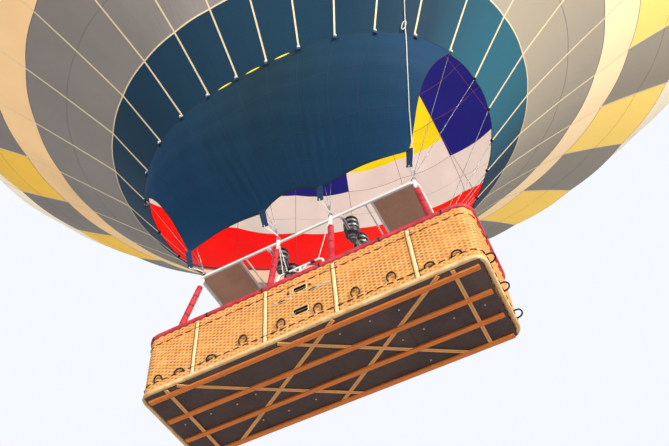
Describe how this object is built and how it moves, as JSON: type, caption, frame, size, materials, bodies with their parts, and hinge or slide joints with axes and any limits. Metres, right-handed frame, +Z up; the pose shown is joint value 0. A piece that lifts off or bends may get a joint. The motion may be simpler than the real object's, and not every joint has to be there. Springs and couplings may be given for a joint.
{
  "type": "hot air balloon",
  "caption": "Tall fabric hot air balloon with a long wicker passenger basket, padded poles, twin burner frame, mouth scoop and parachute vent.",
  "frame": {"origin": "centre of the envelope's widest circle, where the air carries the balloon", "axes": "+Z up along the envelope's axis, +X along the basket's long side, -Y towards the side with the mouth scoop"},
  "size_m": [28.4301, 28.1384, 33.9343],
  "materials": {
    "wicker": "woven golden cane, satin",
    "rawhide": "pale rawhide and wood, worn",
    "runner_wood": "oiled ochre wood, scuffed",
    "plywood": "dark worn plywood",
    "red_leather": "soft padded cover, slight sheen",
    "cylinder_metal": "brushed",
    "frame_tube": "pale satin paint",
    "heat_shield": "brown-grey heat-stained sheet",
    "steel": "satin",
    "burner_metal": "heat-darkened",
    "cable_steel": "braided",
    "scoop_fabric": "dark navy, matt",
    "navy_fabric": "deep blue nylon",
    "grey_fabric": "warm grey nylon",
    "cream_fabric": "peach-cream nylon",
    "amber_fabric": "amber nylon with grey gores between",
    "pale_fabric": "pale cream nylon",
    "rose_fabric": "rose nylon",
    "charcoal_fabric": "charcoal nylon",
    "red_fabric": "bright red nylon",
    "white_fabric": "off-white nylon",
    "violet_fabric": "violet nylon with yellow panels",
    "tape_webbing": "cream webbing"
  },
  "bodies": {
    "balloon": {"basket_wall": "wicker", "partition_cross_left": "wicker", "partition_cross_right": "wicker", "partition_long_left": "wicker", "partition_long_right": "wicker", "base_band": "rawhide", "floor_runners": "runner_wood", "floor_board": "plywood", "rim_pad": "red_leather", "fuel_cylinder_near_left": "cylinder_metal", "fuel_cylinder_near_right": "cylinder_metal", "fuel_cylinder_far_left": "cylinder_metal", "fuel_cylinder_far_right": "cylinder_metal", "pilot_rail": "frame_tube", "burner_frame": "frame_tube", "heat_shield_left": "heat_shield", "heat_shield_right": "heat_shield", "pole_near_left_end": "red_leather", "stay_near_left_end": "cable_steel", "pole_near_left_middle": "red_leather", "stay_near_left_middle": "cable_steel", "pole_near_right_middle": "red_leather", "stay_near_right_middle": "cable_steel", "pole_near_right_end": "red_leather", "stay_near_right_end": "cable_steel", "pole_far_left_end": "red_leather", "stay_far_left_end": "cable_steel", "pole_far_left_middle": "red_leather", "stay_far_left_middle": "cable_steel", "pole_far_right_middle": "red_leather", "stay_far_right_middle": "cable_steel", "pole_far_right_end": "red_leather", "stay_far_right_end": "cable_steel", "scoop": "scoop_fabric", "envelope_mouth": "navy_fabric", "envelope_grey": "grey_fabric", "envelope_cream": "cream_fabric", "envelope_checks": "amber_fabric", "envelope_pale": "pale_fabric", "envelope_rose": "rose_fabric", "envelope_charcoal": "charcoal_fabric", "envelope_red_low": "red_fabric", "envelope_red_high": "red_fabric", "envelope_white": "white_fabric", "envelope_violet_low": "violet_fabric", "envelope_violet_high": "violet_fabric", "envelope_shoulder": "navy_fabric", "envelope_crown": "navy_fabric", "crown_tapes": "tape_webbing", "crown_ring": "steel"},
    "parachute": {"parachute_vent": "navy_fabric"},
    "left_burner": {"burner_beam_left": "steel", "burner_left_near": "burner_metal", "burner_left_far": "burner_metal"},
    "right_burner": {"burner_beam_right": "steel", "burner_right_near": "burner_metal", "burner_right_far": "burner_metal"}
  },
  "joints": [
    {"name": "vent_slide", "type": "slide", "parent": "balloon", "child": "parachute", "axis": [0, 0, -1], "range_m": [0, 1.8]},
    {"name": "left_burner_tilt", "type": "hinge", "parent": "balloon", "child": "left_burner", "pos_m": [-0.62, 0, -21.51], "axis": [0, 1, 0], "range_deg": [-15, 15]},
    {"name": "right_burner_tilt", "type": "hinge", "parent": "balloon", "child": "right_burner", "pos_m": [0.62, 0, -21.51], "axis": [0, 1, 0], "range_deg": [-15, 15]}
  ]
}
